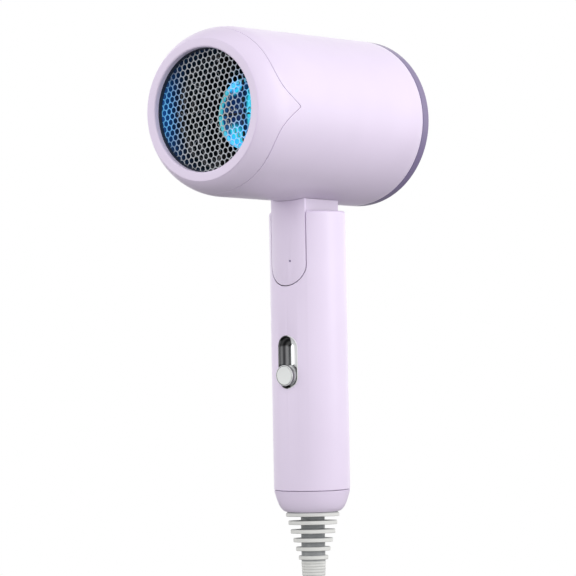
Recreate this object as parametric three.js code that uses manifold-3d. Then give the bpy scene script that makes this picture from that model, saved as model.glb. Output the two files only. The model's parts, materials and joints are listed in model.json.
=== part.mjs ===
// A folding hair dryer: a barrel on a hand grip, with its heater, fan, switch and mains lead.
// Millimetres. +Z runs up the grip, the air blows out along -Y, and the origin is the middle of
// the grip. The barrel's pieces are drawn about the barrel's own axis, in a group lifted to it.

import * as THREE from 'three';
import { mergeVertices } from 'three/addons/utils/BufferGeometryUtils.js';
import Module from 'manifold-3d';

const wasm = await Module();
wasm.setup();

const gap = 0.3; // between two pieces that meet
const barrelSides = 40;
const gripSides = 32;

// Barrel, along Y.
const barrelHeight = 110;
const outletY = -74.7;
const rearY = 44.3;
const skin = 2.2;
const frontRadius = 37;
const taper = 0.021; // growth of the radius per millimetre towards the rear
const noseDepth = 16; // how far back the rounded nose reaches
const faceRadius = 30.9;
const mouthRadius = 26.65;
const mouthDepth = 3.8;
const coverY = 39.2; // where the rear cover starts

// Seam between the nose cowl and the barrel, with a pointed beak on each side.
const seamDepth = 8.6;
const beakLength = 12.6;
const beakHalf = 6;
const beakPower = 1.3;

// Air duct inside the barrel.
const ductIn = 25.6;
const ductOut = 27.2;
const hubRadius = 16.4;
const bladeCount = 9;
const vaneCount = 7;
const micaInner = 17.5; // where the arms of the mica boards start
const grillePitch = 9.8;
const grilleBar = 1.8;
const bossRadius = 33.2;
const bossCount = 3;

// Hinge between the neck and the grip, about X.
const pivotY = -4;
const pivotZ = 52.5;
const neckHalf = 9.3;
const pinRadius = 2.3;

// Tongue that covers the front of the neck and ends in a round tip on the grip.
const tongueHalf = 9.5;
const tongueBack = -13.6;
const tongueRoundZ = pivotZ - 9;
const slotHalf = tongueHalf + 0.35;
const coverPin = [2.6, pivotZ - 7.5]; // x and z of the pin that holds the tongue

// Grip, along Z.
const gripRadius = 17.5;
const gripBore = 15.1;
const gripTop = 67.5;
const gripFoot = -58.5;
const capFoot = -69;

// Sliding switch on the front of the grip.
const switchZ = -0.7;
const pillHalf = 5.1;
const pillLong = 23.5;
const bezelWall = 0.35;
const knobRadius = 4.7;
const knobFront = -19.6;
const knobZ = -6.7;

const clampPlaces = [-6, 6]; // the clamp's two screws, along X

// Strain relief, with flat fins that get smaller downwards.
const finRadii = [11.25, 10.35, 9.05, 7.95, 6.8];
const finPitch = 4.05;
const finThick = 1.85;
const firstFinZ = -75.4;
const reliefEnd = -108.3;

// Mains lead below the grip: a straight drop, a tied hank, a short tail and the plug.
const cordRadius = 3.5;
const hankRun = 105;
const hankOuter = 31.5;
const hankThick = 21.6;
const hankTop = -124;
const hankY = -28;
const tailX = -7.2;
const tailEnd = -300;
const plugZ = -314.3;
const plugLong = 29;
const pinLong = 19;

const lavender = material(0xddd2e8, 0.35);
const mauve = material(0x8f80aa, 0.4);
const silver = material(0xc9cbcd, 0.3, 1);
const steel = material(0x9a9c9e, 0.4, 1);
const heatPlastic = material(0x26262a, 0.6);
const mica = material(0xb9a888, 0.7);
const wire = material(0x8b8780, 0.4, 1);
const copper = material(0xb87a4a, 0.4, 1);
const lightPlastic = material(0x46c8f0, 0.3);
const boardGreen = material(0x1f5b3a, 0.6);
const whitePlastic = material(0xe6e5e2, 0.5);
const greyRubber = material(0xc8c7c2, 0.75);
const strapFabric = material(0xb9b7b4, 0.95);
const knobPaint = material(0xdfe3e0, 0.5, 0.6);

function material(color, roughness, metalness = 0) {
  return new THREE.MeshStandardMaterial({ color, roughness, metalness });
}

// ---- Helpers ----

// Merges shared corners, drops collapsed triangles and makes the faces point outwards.
function tidy(geometry) {
  geometry.deleteAttribute('normal');
  geometry.deleteAttribute('uv');
  const merged = mergeVertices(geometry, 1e-4);
  const kept = [];
  const index = merged.index.array;
  for (let i = 0; i < index.length; i += 3) {
    const [a, b, c] = index.slice(i, i + 3);
    if (a !== b && b !== c && c !== a) kept.push(a, b, c);
  }
  if (signedVolume(merged.attributes.position.array, kept) < 0) kept.reverse();
  merged.setIndex(kept);
  return merged;
}

function signedVolume(at, corners) {
  const [a, b, c] = [new THREE.Vector3(), new THREE.Vector3(), new THREE.Vector3()];
  let sum = 0;
  for (let i = 0; i < corners.length; i += 3) {
    a.fromArray(at, corners[i] * 3);
    b.fromArray(at, corners[i + 1] * 3);
    c.fromArray(at, corners[i + 2] * 3);
    sum += a.dot(b.cross(c));
  }
  return sum;
}

function solid(geometry) {
  const clean = tidy(geometry);
  const vertProperties = new Float32Array(clean.attributes.position.array);
  const triVerts = new Uint32Array(clean.index.array);
  return new wasm.Manifold(new wasm.Mesh({ numProp: 3, vertProperties, triVerts }));
}

function geometryOf(manifold) {
  const { vertProperties, triVerts } = manifold.getMesh();
  const geometry = new THREE.BufferGeometry();
  geometry.setAttribute('position', new THREE.BufferAttribute(vertProperties, 3));
  geometry.setIndex([...triVerts]);
  return geometry;
}

function piece(name, shape, look) {
  const geometry = shape.getMesh ? geometryOf(shape) : tidy(shape);
  const mesh = new THREE.Mesh(geometry, look);
  mesh.name = name;
  return mesh;
}

const up = new THREE.Vector3(0, 0, 1);
const right = new THREE.Vector3(1, 0, 0);
const forward = new THREE.Vector3(0, 1, 0);

// An outline given as [x, z] pushed along Y, as [y, z] along X, or as [x, y] along Z.
const axesOf = {
  x: new THREE.Matrix4().makeBasis(forward, up, right),
  y: new THREE.Matrix4().makeBasis(right, up, forward.clone().negate()),
  z: new THREE.Matrix4(),
};

function extrude(shape, axis, low, high, curveSegments = 12) {
  const options = { depth: high - low, bevelEnabled: false, curveSegments };
  const geometry = new THREE.ExtrudeGeometry(shape, options).applyMatrix4(axesOf[axis]);
  const start = axis === 'y' ? high : low;
  return geometry.translate(...(axis === 'x' ? [start, 0, 0] : axis === 'y' ? [0, start, 0] : [0, 0, start]));
}

// A turned body from [radius, height] points, along Y, Z or X.
function turned(profile, axis, segments) {
  const points = profile.map(([radius, height]) => new THREE.Vector2(radius, height));
  const closesOnAxis = profile[0][0] === 0 && profile.at(-1)[0] === 0;
  if (!closesOnAxis) points.push(points[0].clone());
  const geometry = new THREE.LatheGeometry(points, segments);
  if (axis === 'z') geometry.rotateX(Math.PI / 2);
  if (axis === 'x') geometry.rotateZ(-Math.PI / 2);
  return geometry;
}

function tube(outer, inner, low, high, axis = 'y', segments = 40) {
  return turned([[inner, low], [outer, low], [outer, high], [inner, high]], axis, segments);
}

function rod(radius, low, high, axis, segments = 16) {
  return turned([[0, low], [radius, low], [radius, high], [0, high]], axis, segments);
}

function box(low, high) {
  const size = high.map((value, i) => value - low[i]);
  const middle = high.map((value, i) => (value + low[i]) / 2);
  return new THREE.BoxGeometry(...size).translate(...middle);
}

function circleHole(x, y, radius, sides = 12) {
  const hole = new THREE.Path();
  for (let i = 0; i < sides; i++) {
    const turn = (-2 * Math.PI * i) / sides;
    const at = [x + radius * Math.cos(turn), y + radius * Math.sin(turn)];
    if (i === 0) hole.moveTo(...at);
    else hole.lineTo(...at);
  }
  hole.closePath();
  return hole;
}

// A quarter of an ellipse from angle `from` to 90 degrees, as [radius, height] points.
function ellipseArc(centre, radial, axial, from, steps) {
  return Array.from({ length: steps + 1 }, (_, i) => {
    const turn = from + ((Math.PI / 2 - from) * i) / steps;
    return [centre[0] + radial * Math.sin(turn), centre[1] - axial * Math.cos(turn)];
  });
}

function pill(half, long, z) {
  const straight = long / 2 - half;
  const shape = new THREE.Shape();
  shape.absarc(0, z + straight, half, 0, Math.PI);
  shape.absarc(0, z - straight, half, Math.PI, 2 * Math.PI);
  return shape;
}

// ---- Barrel skins ----

function barrelRadius(y) {
  return frontRadius + taper * (y - outletY - noseDepth);
}

// The nose rounds from the flat face to the barrel's side, leaving a soft crease at the face.
function nosePoints() {
  const crease = THREE.MathUtils.degToRad(14);
  const radial = (frontRadius - faceRadius) / (1 - Math.sin(crease));
  const axial = (noseDepth - 0.15) / Math.cos(crease);
  const centre = [frontRadius - radial, outletY + noseDepth];
  return ellipseArc(centre, radial, axial, crease, 6);
}

function seam(height) {
  return outletY + seamDepth + beakLength * Math.exp(-((Math.abs(height) / beakHalf) ** beakPower));
}

// Everything in front of the seam, as a block.
function noseBlock(shift) {
  const heights = [45, 24, 17, 13.5, 10.5, 8, 6, 4.6, 3.2, 2, 1, 0.4];
  const rows = [...heights.map((h) => -h), 0, ...heights.toReversed()];
  const shape = new THREE.Shape();
  shape.moveTo(outletY - 10, -45);
  for (const height of rows) shape.lineTo(seam(height) + shift, height);
  shape.lineTo(outletY - 10, 45);
  return solid(extrude(shape, 'x', -50, 50));
}

function frontCowl() {
  const y = (depth) => outletY + depth;
  const outside = [...nosePoints(), [barrelRadius(y(23)), y(23)]];
  const inside = [
    [34.8, y(23)], [34.4, y(8)], [31.4, y(3.8)], [29.9, y(3.2)],
    [29.9, y(9)], [28.1, y(9)], [28.1, y(mouthDepth)], [mouthRadius, y(mouthDepth)],
    [mouthRadius, y(0.4)], [mouthRadius + 0.5, outletY], [faceRadius - 0.4, outletY],
  ];
  const skinPart = solid(turned([...outside, ...inside], 'y', barrelSides)).intersect(noseBlock(0));
  return skinPart.add(solid(tube(34.3, 33, y(5), y(16), 'y', barrelSides)));
}

function barrelShell() {
  const start = outletY + seamDepth - 2;
  const outside = nosePoints().filter(([, y]) => y > start);
  const end = coverY - gap;
  const profile = [
    ...outside, [barrelRadius(end), end], [barrelRadius(end) - skin, end],
    [barrelRadius(outletY + 23) - skin, outletY + 23], [34.6, outside[0][1]],
  ];
  let shell = solid(turned(profile, 'y', barrelSides));
  for (const [x, z, turn] of bossPlaces()) {
    const post = solid(rod(3, -2, 19.7, 'y', 10).translate(x, 0, z));
    const rib = box([1.5, -2, -1.2], [3.8, 19.7, 1.2]).rotateY(-turn).translate(x, 0, z);
    const pilot = solid(rod(1.35, 11, 25, 'y', 8).translate(x, 0, z));
    shell = shell.add(post).add(solid(rib)).subtract(pilot);
  }
  const neckHole = box([-6.3, -9.3, -45], [6.3, 7.3, -20]);
  return shell.subtract(noseBlock(gap)).subtract(solid(neckHole));
}

// Screw bosses around the barrel's axis: x, z and the turn from +X towards +Z.
function bossPlaces() {
  return Array.from({ length: bossCount }, (_, i) => {
    const turn = Math.PI / 2 + (2 * Math.PI * i) / bossCount;
    return [bossRadius * Math.cos(turn), bossRadius * Math.sin(turn), turn];
  });
}

// A round plate with six-sided holes in a honeycomb.
function honeycomb(radius, pitch, bar, reach) {
  const plate = new THREE.Shape();
  plate.absarc(0, 0, radius, 0, 2 * Math.PI);
  const count = Math.ceil(reach / pitch) + 1;
  for (let row = -count; row <= count; row++) {
    for (let column = -count; column <= count; column++) {
      const x = pitch * (column + row / 2);
      const z = (pitch * row * Math.sqrt(3)) / 2;
      const hole = (pitch - bar) / Math.sqrt(3);
      if (Math.hypot(x, z) + hole < reach) plate.holes.push(hexagonHole(x, z, hole));
    }
  }
  return plate;
}

function hexagonHole(x, z, radius) {
  const hole = new THREE.Path();
  for (let i = 0; i < 6; i++) {
    const turn = -(Math.PI / 3) * i + Math.PI / 6;
    const at = [x + radius * Math.cos(turn), z + radius * Math.sin(turn)];
    if (i === 0) hole.moveTo(...at);
    else hole.lineTo(...at);
  }
  hole.closePath();
  return hole;
}

function rearCover() {
  const rim = barrelRadius(coverY);
  const edge = 3.4;
  const corner = ellipseArc([0, 0], edge, edge, 0, 3).map(([a, b]) => [rim - edge + a, rearY - edge - b]);
  const profile = [
    [36.1, 31.5], [36.1, coverY], [rim, coverY], ...corner.toReversed(),
    [31.4, rearY], [31.4, 41], [34.5, 41], [34.5, 31.5],
  ];
  const ring = solid(turned(profile, 'y', barrelSides));
  const plate = extrude(honeycomb(32, 11.8, 2.2, 31), 'y', 41.4, 43.2, 24);
  return ring.add(solid(plate));
}

// ---- Duct, heater and fan ----

// Two boards that cross on the axis. Each carries the coils on its two arms, which a slim bridge
// joins at the rear, and each bridge is slotted half way for the other.
function micaBoard(slotFromFront) {
  const [front, rear] = [outletY + 12.5, outletY + 29.5];
  const [bridge, middle] = [rear - 3, rear - 1.5];
  const notch = slotFromFront
    ? [[bridge, 0.7], [middle + 0.2, 0.7], [middle + 0.2, -0.7], [bridge, -0.7]]
    : [];
  const rearNotch = slotFromFront
    ? []
    : [[rear, -0.7], [middle - 0.2, -0.7], [middle - 0.2, 0.7], [rear, 0.7]];
  const outline = [
    [front, -24], [rear, -24], ...rearNotch, [rear, 24], [front, 24],
    [front, micaInner], [bridge, micaInner], ...notch, [bridge, -micaInner], [front, -micaInner],
  ];
  return extrude(new THREE.Shape(outline.map(([u, v]) => new THREE.Vector2(u, v))), 'x', -0.4, 0.4);
}

function heaterCoil(startY) {
  const turns = 2;
  const steps = 16 * turns;
  const points = Array.from({ length: steps + 1 }, (_, i) => {
    const turn = (2 * Math.PI * turns * i) / steps;
    return new THREE.Vector3(25.1 * Math.cos(turn), startY + (2.4 * turns * i) / steps, 25.1 * Math.sin(turn));
  });
  const section = new THREE.Shape();
  section.absarc(0, 0, 0.45, 0, 2 * Math.PI);
  const extrudePath = new THREE.CatmullRomCurve3(points);
  return new THREE.ExtrudeGeometry(section, { steps, extrudePath, curveSegments: 2 });
}

// Motor housing: a hub held in the duct by straight vanes.
function stator() {
  const [front, rear] = [-39.2, -8.4];
  let body = solid(tube(hubRadius, 14.2, front, rear)).add(solid(tube(ductOut, ductIn, -30, rear)));
  for (let i = 0; i < vaneCount; i++) {
    const vane = box([15.4, -28, -0.8], [26.4, -12, 0.8]).rotateY((2 * Math.PI * i) / vaneCount);
    body = body.add(solid(vane));
  }
  return body;
}

function impeller() {
  const nose = ellipseArc([0, 0], hubRadius, 9, 0, 5).map(([r, y]) => [r, 5 - y]);
  const hub = turned([[0, -8], [hubRadius, -8], ...nose.toReversed()], 'y', 36);
  let body = solid(hub);
  for (let i = 0; i < bladeCount; i++) {
    const blade = new THREE.BoxGeometry(9.4, 12, 1.2).rotateX(THREE.MathUtils.degToRad(42));
    blade.translate(19.9, -1, 0).rotateY((2 * Math.PI * i) / bladeCount);
    body = body.add(solid(blade));
  }
  return body.subtract(solid(rod(1.8, -10, 3, 'y', 16)));
}

function fanShroud() {
  const profile = [
    [ductIn, -8.1], [ductOut, -8.1], [ductOut, 18.4], [29, 20], [36, 20], [36, 22],
    [30.5, 22], [27.6, 20], [26.2, 17.5], [ductIn, 14],
  ];
  let shroud = solid(turned(profile, 'y', 32));
  for (const [x, z] of bossPlaces()) {
    shroud = shroud.subtract(solid(rod(1.35, 15, 25, 'y', 8).translate(x, 0, z)));
  }
  return shroud;
}

function shroudScrews() {
  const profile = [[0, 12], [1, 12], [1, 22.3], [2.2, 22.3], [2.2, 23.8], [0, 23.8]];
  return bossPlaces().map(([x, z], i) => {
    return piece(`shroud_screw_${i + 1}`, turned(profile, 'y', 8).translate(x, 0, z), steel);
  });
}

function lightBoard() {
  const ring = new THREE.Shape();
  ring.absarc(0, 0, 15.8, 0, 2 * Math.PI);
  ring.holes.push(circleHole(0, 0, 5, 16));
  return extrude(ring, 'y', outletY + 33.9, outletY + 35.1, 12);
}

function motorNose() {
  const dome = ellipseArc([0, 0], 12.9, 3, 0, 3).map(([r, y]) => [r, outletY + 33.6 - 0.8 + y]);
  return turned([...dome, [12.9, outletY + 33.6], [0, outletY + 33.6]], 'y', 24);
}

function barrel() {
  const y = (depth) => outletY + depth;
  const group = new THREE.Group();
  group.position.z = barrelHeight;
  const grille = extrude(honeycomb(27.8, grillePitch, grilleBar, 26.9), 'y', y(4.1), y(5.3), 24);
  const lightRing = tube(16.6, 13.3, y(31.2), y(33.6), 'y', 32);
  const motorCan = turned([[0, -36], [12, -36], [13.8, -34.5], [13.8, -10.5], [0, -10.5]], 'y', 24);
  group.add(
    piece('front_cowl', frontCowl(), lavender),
    piece('barrel_shell', barrelShell(), lavender),
    piece('outlet_grille', grille, silver),
    piece('grille_ring', tube(27.8, 26.2, y(5.6), y(8.6), 'y', 36), heatPlastic),
    piece('heat_tube', tube(28.1, 26.9, y(9.3), -30.3, 'y', 36), heatPlastic),
    piece('mica_board_upright', micaBoard(true), mica),
    piece('mica_board_level', micaBoard(false).rotateY(Math.PI / 2), mica),
    piece('heater_coil_front', heaterCoil(y(14)), wire),
    piece('heater_coil_rear', heaterCoil(y(22)), wire),
    piece('thermostat', rod(3.2, 0.7, 3.9, 'x', 16).translate(0, y(20), 20.6), whitePlastic),
    piece('thermal_fuse', rod(1.4, y(15), y(26), 'y', 10).translate(-2.3, 0, -20.6), copper),
    piece('light_ring', lightRing, lightPlastic),
    piece('light_board', lightBoard(), boardGreen),
    piece('motor_nose', motorNose(), heatPlastic),
    piece('stator', stator(), heatPlastic),
    piece('motor_can', motorCan, steel),
    piece('motor_shaft', rod(1.5, -10.2, 2.6, 'y', 12), steel),
    piece('impeller', impeller(), whitePlastic),
    piece('fan_shroud', fanShroud(), whitePlastic),
    ...shroudScrews(),
    piece('ion_generator', box([-8.5, -26, 29], [8.5, -4, 33.6]), heatPlastic),
    piece('rear_cover', rearCover(), mauve),
    piece('intake_mesh', rod(34.1, 39.6, 40.6, 'y', 36), steel),
  );
  return group;
}

// ---- Neck and hinge ----

// The barrel's outside grown by a gap, to trim what meets it.
function barrelCutter() {
  const [low, high] = [-40, 40];
  const profile = [[0, low], [barrelRadius(low) + gap, low], [barrelRadius(high) + gap, high], [0, high]];
  return solid(turned(profile, 'y', barrelSides).translate(0, 0, barrelHeight));
}

// The knuckle's round end: turned about the hinge, it just clears the bore of the grip.
function knuckleRound() {
  const reach = (x) => Math.sqrt((gripBore - gap) ** 2 - x ** 2) - pivotY;
  const steps = Array.from({ length: 9 }, (_, i) => neckHalf * (1 - i / 4));
  const profile = [[0, neckHalf], ...steps.map((x) => [reach(x), x]), [0, -neckHalf]];
  return solid(turned(profile, 'x', 48).translate(0, pivotY, pivotZ));
}

function neckKnuckle() {
  const front = tongueBack + gap;
  const backHalf = solid(box([-neckHalf, 0, pivotZ], [neckHalf, 20, 90]));
  const body = backHalf
    .intersect(solid(rod(gripBore - gap, 20, 95, 'z', gripSides)))
    .add(solid(box([-neckHalf, front, pivotZ], [neckHalf, 0.1, 90])))
    .add(knuckleRound().intersect(solid(box([-20, front, 0], [20, 30, 90]))))
    .subtract(barrelCutter());
  const spigot = solid(box([-6, -9, 66], [6, 7, 76.5]));
  const cablePath = solid(box([-3.6, -6, 20], [3.6, 4, 90]));
  const bore = solid(rod(pinRadius + gap, -20, 20, 'x', 20).translate(0, pivotY, pivotZ));
  const pinHole = solid(rod(0.8, -30, -6.4, 'y', 10).translate(coverPin[0], 0, coverPin[1]));
  return body.add(spigot).subtract(cablePath).subtract(bore).subtract(pinHole);
}

function neckCover() {
  const face = new THREE.Shape();
  face.moveTo(tongueHalf, 90);
  face.lineTo(-tongueHalf, 90);
  face.absarc(0, tongueRoundZ, tongueHalf, Math.PI, 2 * Math.PI);
  const slab = solid(extrude(face, 'y', -20, tongueBack, 12));
  const round = solid(rod(gripRadius, 20, 95, 'z', gripSides));
  const pinHole = solid(rod(0.8, -30, -6, 'y', 10).translate(coverPin[0], 0, coverPin[1]));
  return slab.intersect(round).subtract(barrelCutter()).subtract(pinHole);
}

// The space the tongue's round tip sweeps through as it folds, a body turned about the hinge.
function tipSweep() {
  const points = [];
  for (let i = 0; i <= 16; i++) {
    const x = slotHalf * Math.cos((Math.PI * i) / 16);
    const edge = Math.min(Math.abs(x), tongueHalf);
    const ahead = -Math.sqrt(gripRadius ** 2 - edge ** 2) - pivotY;
    const below = tongueRoundZ - pivotZ - Math.sqrt(tongueHalf ** 2 - edge ** 2);
    points.push([Math.hypot(ahead, below) + 0.35, x]);
  }
  const profile = [[0, slotHalf], ...points, [0, -slotHalf]];
  return solid(turned(profile, 'x', 48).translate(0, pivotY, pivotZ));
}

// The two ears that hold the hinge pins fill the sides of the grip's bore.
function hingeEar(side) {
  const body = solid(rod(gripBore - gap, pivotZ - 15, gripTop - gap, 'z', gripSides));
  const inside = solid(box([-40, -30, 0], [40, 30, 90]).translate(side * (slotHalf - 40), 0, 0));
  const bore = solid(rod(pinRadius + gap, -30, 30, 'x', 20).translate(0, pivotY, pivotZ));
  return body.subtract(inside).subtract(bore);
}

function hingePin(side) {
  const ends = side > 0 ? [4, 13.3] : [-13.3, -4];
  return rod(pinRadius, ...ends, 'x', 20).translate(0, pivotY, pivotZ);
}

// ---- Grip ----

function gripShell() {
  const profile = [
    [gripBore, gripFoot], [gripRadius, gripFoot], [gripRadius, gripTop - 1.2],
    [gripRadius - 0.35, gripTop - 0.35], [gripRadius - 1.2, gripTop], [gripBore, gripTop],
  ];
  const slot = solid(box([-slotHalf, -30, tongueRoundZ], [slotHalf, pivotY, 90]));
  const sweepLimit = solid(box([-30, -30, 0], [30, pivotY + 18.8, 90]));
  const window = solid(extrude(pill(pillHalf + bezelWall + gap, pillLong + 2 * (bezelWall + gap), switchZ), 'y', -30, 0, 8));
  const shell = solid(turned(profile, 'z', gripSides));
  return shell.subtract(slot).subtract(tipSweep().intersect(sweepLimit)).subtract(window);
}

function endCap() {
  const wall = 2;
  const [bowlTop, flat] = [-61.5, 12.65];
  const outer = ellipseArc([0, 0], gripRadius - flat, bowlTop - capFoot, 0, 4);
  const inner = ellipseArc([0, 0], gripRadius - flat - wall, bowlTop - capFoot - wall, 0, 2);
  const profile = [
    [6.8, capFoot], ...outer.map(([r, z]) => [flat + r, bowlTop + z]), [gripRadius, gripFoot - gap],
    [14.8, gripFoot - gap], [14.8, -54.3], [13.4, -54.3], [13.4, -60.5],
    ...inner.toReversed().map(([r, z]) => [flat + r, bowlTop + z]), [6.8, capFoot + wall],
  ];
  return turned(profile, 'z', gripSides);
}

function switchBezel() {
  const outer = solid(extrude(pill(pillHalf + bezelWall, pillLong + 2 * bezelWall, switchZ), 'y', -20, -13, 8));
  const well = solid(extrude(pill(pillHalf, pillLong, switchZ), 'y', -25, -14, 8));
  const slot = solid(extrude(pill(1.8, pillLong - 2 * pillHalf + 3.6, switchZ), 'y', -25, -5, 4));
  const round = solid(rod(gripRadius + 0.15, -30, 30, 'z', gripSides));
  return outer.intersect(round).subtract(well).subtract(slot);
}

function switchKnob() {
  const profile = [
    [0, -13], [1.5, -13], [1.5, -14.4], [knobRadius - 0.2, -14.4], [knobRadius, -14.7],
    [knobRadius, knobFront + 0.4], [knobRadius - 0.15, knobFront + 0.1], [4.35, knobFront + 0.1],
    [4.35, knobFront + 1.1], [0, knobFront + 1.1],
  ];
  return turned(profile, 'y', 20);
}

function cordClamp() {
  const shape = new THREE.Shape();
  shape.moveTo(-8, -4.8);
  shape.lineTo(8, -4.8);
  shape.lineTo(8, 10);
  shape.lineTo(-8, 10);
  shape.closePath();
  shape.holes.push(circleHole(0, 0, cordRadius + gap, 16));
  const block = solid(extrude(shape, 'z', -53.6, -46));
  return clampPlaces.reduce(
    (body, x) => body.subtract(solid(rod(1.5, -10, 8, 'y', 10).translate(x, 0, -49.8))),
    block,
  );
}

function clampScrews() {
  const profile = [[0, 6], [1.2, 6], [1.2, -5.1], [2.1, -5.1], [2.1, -6.4], [0, -6.4]];
  return clampPlaces.map((x, i) => {
    return piece(`clamp_screw_${i + 1}`, turned(profile, 'y', 10).translate(x, 0, -49.8), steel);
  });
}

// Half of a tube behind the board, which slides in from the foot of the grip.
function gripChassis() {
  const [outer, inner, edge] = [gripBore - gap, 13.2, -1.3];
  const shape = new THREE.Shape();
  shape.absarc(0, 0, outer, Math.asin(edge / outer), Math.PI - Math.asin(edge / outer));
  shape.absarc(0, 0, inner, Math.PI - Math.asin(edge / inner), Math.asin(edge / inner), true);
  return extrude(shape, 'z', -53.6, 25, 12);
}

function strainRelief() {
  const [core, baseTop] = [5.4, capFoot - 2];
  const profile = [
    [0, -62], [5, -62], [5, -63.9], [9, -63.9], [9, -65.9], [6.5, -65.9],
    [6.5, baseTop], [12.2, baseTop], [12.2, baseTop - 1.9], [core, baseTop - 1.9],
  ];
  finRadii.forEach((radius, i) => {
    const z = firstFinZ - finPitch * i;
    profile.push([core, z + finThick / 2], [radius, z + finThick / 2]);
    profile.push([radius, z - finThick / 2], [core, z - finThick / 2]);
  });
  profile.push([5.3, -93.8], [4.7, reliefEnd], [0, reliefEnd]);
  return turned(profile, 'z', 16);
}

function grip() {
  const group = new THREE.Group();
  const sliderPlate = box([-5.2, -12.7, knobZ - 8.5], [5.2, -11.4, knobZ + 8.5]);
  const board = box([-13.4, -3.2, -44], [13.4, -1.6, 24]);
  group.add(
    piece('handle_shell', gripShell(), lavender),
    piece('handle_end_cap', endCap(), lavender),
    piece('hinge_ear_left', hingeEar(-1), heatPlastic),
    piece('hinge_ear_right', hingeEar(1), heatPlastic),
    piece('hinge_pin_left', hingePin(-1), steel),
    piece('hinge_pin_right', hingePin(1), steel),
    piece('neck_knuckle', neckKnuckle(), lavender),
    piece('neck_cover', neckCover(), lavender),
    piece('cover_pin', rod(0.5, -17.2, -6.8, 'y', 10).translate(coverPin[0], 0, coverPin[1]), steel),
    piece('switch_bezel', switchBezel(), silver),
    piece('switch_knob', switchKnob().translate(0, 0, knobZ), silver),
    piece('knob_face', rod(4.1, knobFront, knobFront + 0.8, 'y', 20).translate(0, 0, knobZ), knobPaint),
    piece('switch_slider', sliderPlate, heatPlastic),
    piece('switch_body', box([-5, -11.1, -17], [5, -3.5, 15]), heatPlastic),
    piece('circuit_board', board, boardGreen),
    piece('relay', box([-8.5, -1.3, -40], [4, 7.5, -22]), heatPlastic),
    piece('filter_capacitor', rod(5.2, -14, 8, 'z', 20).translate(0, 4.2, 0), mauve),
    piece('handle_chassis', gripChassis(), whitePlastic),
    piece('cord_clamp', cordClamp(), heatPlastic),
    ...clampScrews(),
    piece('inner_lead', rod(cordRadius, -61.7, -44.5, 'z', 12), greyRubber),
    piece('strain_relief', strainRelief(), greyRubber),
  );
  return group;
}

// ---- Mains lead ----

function straightCord(x, from, to) {
  const section = new THREE.Shape();
  section.absarc(0, 0, cordRadius, 0, 2 * Math.PI);
  const extrudePath = new THREE.LineCurve3(new THREE.Vector3(x, 0, from), new THREE.Vector3(x, 0, to));
  return new THREE.ExtrudeGeometry(section, { steps: 2, extrudePath, curveSegments: 5 });
}

function stadium(radius, run, topZ) {
  const shape = new THREE.Shape();
  const high = topZ - hankOuter;
  shape.absarc(hankY, high, radius, 0, Math.PI);
  shape.absarc(hankY, high - run, radius, Math.PI, 2 * Math.PI);
  return shape;
}

function cordTie() {
  const band = (grow) => {
    const [x, y] = [hankThick / 2 + grow, hankOuter + grow];
    const shape = new THREE.Shape();
    shape.moveTo(-x, hankY - y + grow);
    shape.absarc(-x + grow, hankY - y + grow, grow, Math.PI, 1.5 * Math.PI);
    shape.absarc(x - grow, hankY - y + grow, grow, 1.5 * Math.PI, 2 * Math.PI);
    shape.absarc(x - grow, hankY + y - grow, grow, 0, Math.PI / 2);
    shape.absarc(-x + grow, hankY + y - grow, grow, Math.PI / 2, Math.PI);
    return shape;
  };
  const middle = hankTop - hankOuter - hankRun / 2;
  const outer = solid(extrude(band(2), 'z', middle - 9, middle + 9, 4));
  return outer.subtract(solid(extrude(band(gap), 'z', middle - 20, middle + 20, 2)));
}

// The plug's body widens from the relief and narrows again to its flat pin face.
function plugBody() {
  const foot = plugZ - plugLong;
  const shape = new THREE.Shape();
  shape.moveTo(-6, plugZ);
  shape.lineTo(6, plugZ);
  shape.quadraticCurveTo(15.5, plugZ - 5, 16.5, plugZ - 14);
  shape.lineTo(15.5, foot);
  shape.lineTo(-15.5, foot);
  shape.lineTo(-16.5, plugZ - 14);
  shape.quadraticCurveTo(-15.5, plugZ - 5, -6, plugZ);
  return extrude(shape, 'x', -8, 8, 6).translate(tailX, 0, 0);
}

function plugPins() {
  const top = plugZ - plugLong - gap;
  const profile = [[0, top], [2.4, top], [2.4, top - pinLong + 1.5], [1.4, top - pinLong], [0, top - pinLong]];
  return [-9.5, 9.5].map((y, i) => {
    return piece(`plug_pin_${i + 1}`, turned(profile, 'z', 12).translate(tailX, y, 0), silver);
  });
}

function mainsLead() {
  const group = new THREE.Group();
  const arcTop = hankTop - hankOuter;
  const beside = Math.sqrt(hankOuter ** 2 - (-hankY - cordRadius) ** 2) + gap;
  const relief = turned([[0, plugZ + gap], [6, plugZ + gap], [4.6, tailEnd - gap], [0, tailEnd - gap]], 'z', 20);
  group.add(
    piece('cord_lead', straightCord(0, reliefEnd - gap, arcTop + beside), greyRubber),
    piece('cord_hank', extrude(stadium(hankOuter, hankRun, hankTop), 'x', -hankThick / 2, hankThick / 2, 10), greyRubber),
    piece('cord_tie', cordTie(), strapFabric),
    piece('cord_tail', straightCord(tailX, arcTop - hankRun - beside, tailEnd), greyRubber),
    piece('plug_relief', relief.translate(tailX, 0, 0), greyRubber),
    piece('plug_body', plugBody(), greyRubber),
    ...plugPins(),
  );
  return group;
}

const dryer = new THREE.Group();
dryer.add(barrel(), grip(), mainsLead());

export default dryer;
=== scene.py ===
import json
import math

import bpy
from mathutils import Matrix, Vector


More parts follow.
